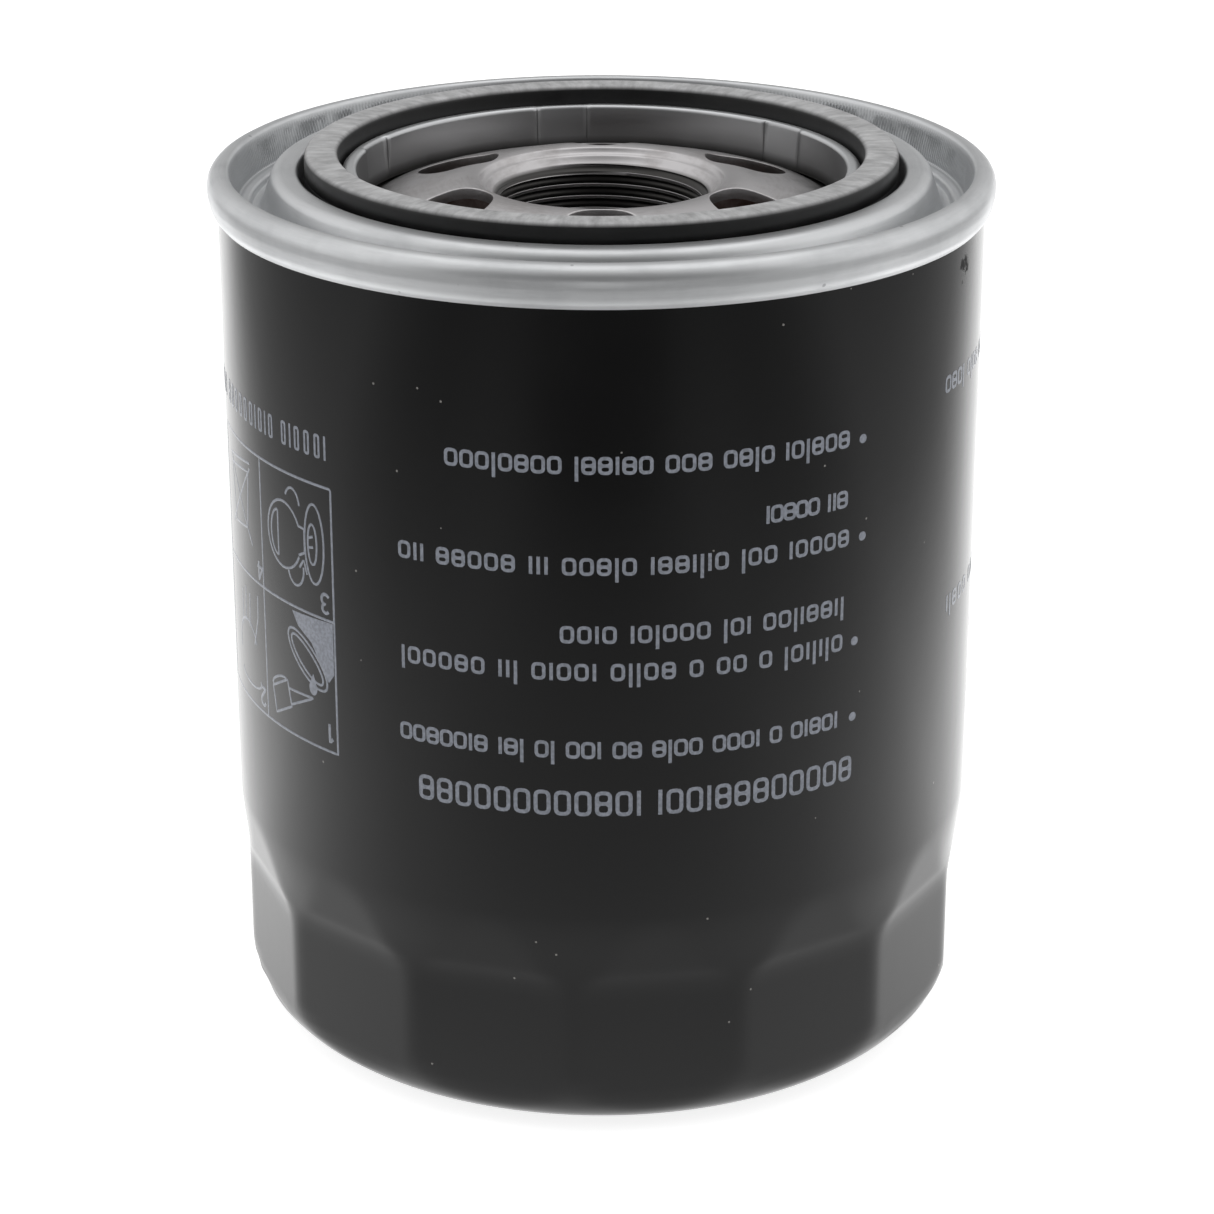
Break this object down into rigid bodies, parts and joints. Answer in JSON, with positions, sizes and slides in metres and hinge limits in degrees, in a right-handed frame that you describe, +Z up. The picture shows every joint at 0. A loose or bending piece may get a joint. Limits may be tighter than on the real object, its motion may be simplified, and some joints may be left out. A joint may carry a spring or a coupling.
{
  "type": "spin-on oil filter",
  "caption": "Spin-on engine oil filter: black steel can with wrench flats, seamed lid, rubber gasket, threaded base plate, drain-back and bypass valves, pleated element.",
  "frame": {"origin": "centre of the foot, on the plane that the closed end stands on", "axes": "+Z up along the can's axis towards the threaded end; -Y is the side with the instruction print; +X to its right"},
  "size_m": [0.0936, 0.0936, 0.1087],
  "materials": {
    "can_paint": "semi-gloss black stove enamel",
    "lid_plating": "satin tin-plated sheet",
    "plate_steel": "oiled satin steel",
    "gasket_rubber": "moulded, lightly oiled",
    "valve_rubber": "moulded, reddish brown",
    "seal_rubber": "moulded",
    "inner_steel": "plain pressed sheet",
    "spring_steel": "drawn wire",
    "filter_paper": "resin-treated pleated paper",
    "potting_resin": "cured potting compound",
    "seam_compound": "dried lining compound"
  },
  "bodies": {
    "filter": {"canister": "can_paint", "seaming_lid": "lid_plating", "base_plate": "plate_steel", "gasket": "gasket_rubber", "seam_compound": "seam_compound", "drainback_spring": "spring_steel", "element_grommet": "seal_rubber", "top_end_cap": "inner_steel", "bottom_end_cap": "inner_steel", "top_potting": "potting_resin", "bottom_potting": "potting_resin", "centre_tube": "inner_steel", "pleated_media": "filter_paper", "media_seam_clip": "inner_steel", "bypass_seat": "inner_steel", "bypass_spring": "spring_steel", "bypass_cage": "inner_steel", "support_spring": "spring_steel"},
    "drainback_disc": {"drainback_valve": "valve_rubber", "drainback_washer": "inner_steel"},
    "bypass_disc": {"bypass_poppet": "inner_steel", "bypass_seal": "seal_rubber"}
  },
  "joints": [
    {"name": "drainback_lift", "type": "slide", "parent": "filter", "child": "drainback_disc", "axis": [0, 0, -1], "range_m": [0, 0.0015], "stiffness_N_per_m": 400, "springref_m": -0.003, "deforming": ["drainback_spring"]},
    {"name": "bypass_lift", "type": "slide", "parent": "filter", "child": "bypass_disc", "axis": [0, 0, 1], "range_m": [0, 0.003], "stiffness_N_per_m": 5000, "springref_m": -0.0044, "deforming": ["bypass_spring"]}
  ]
}
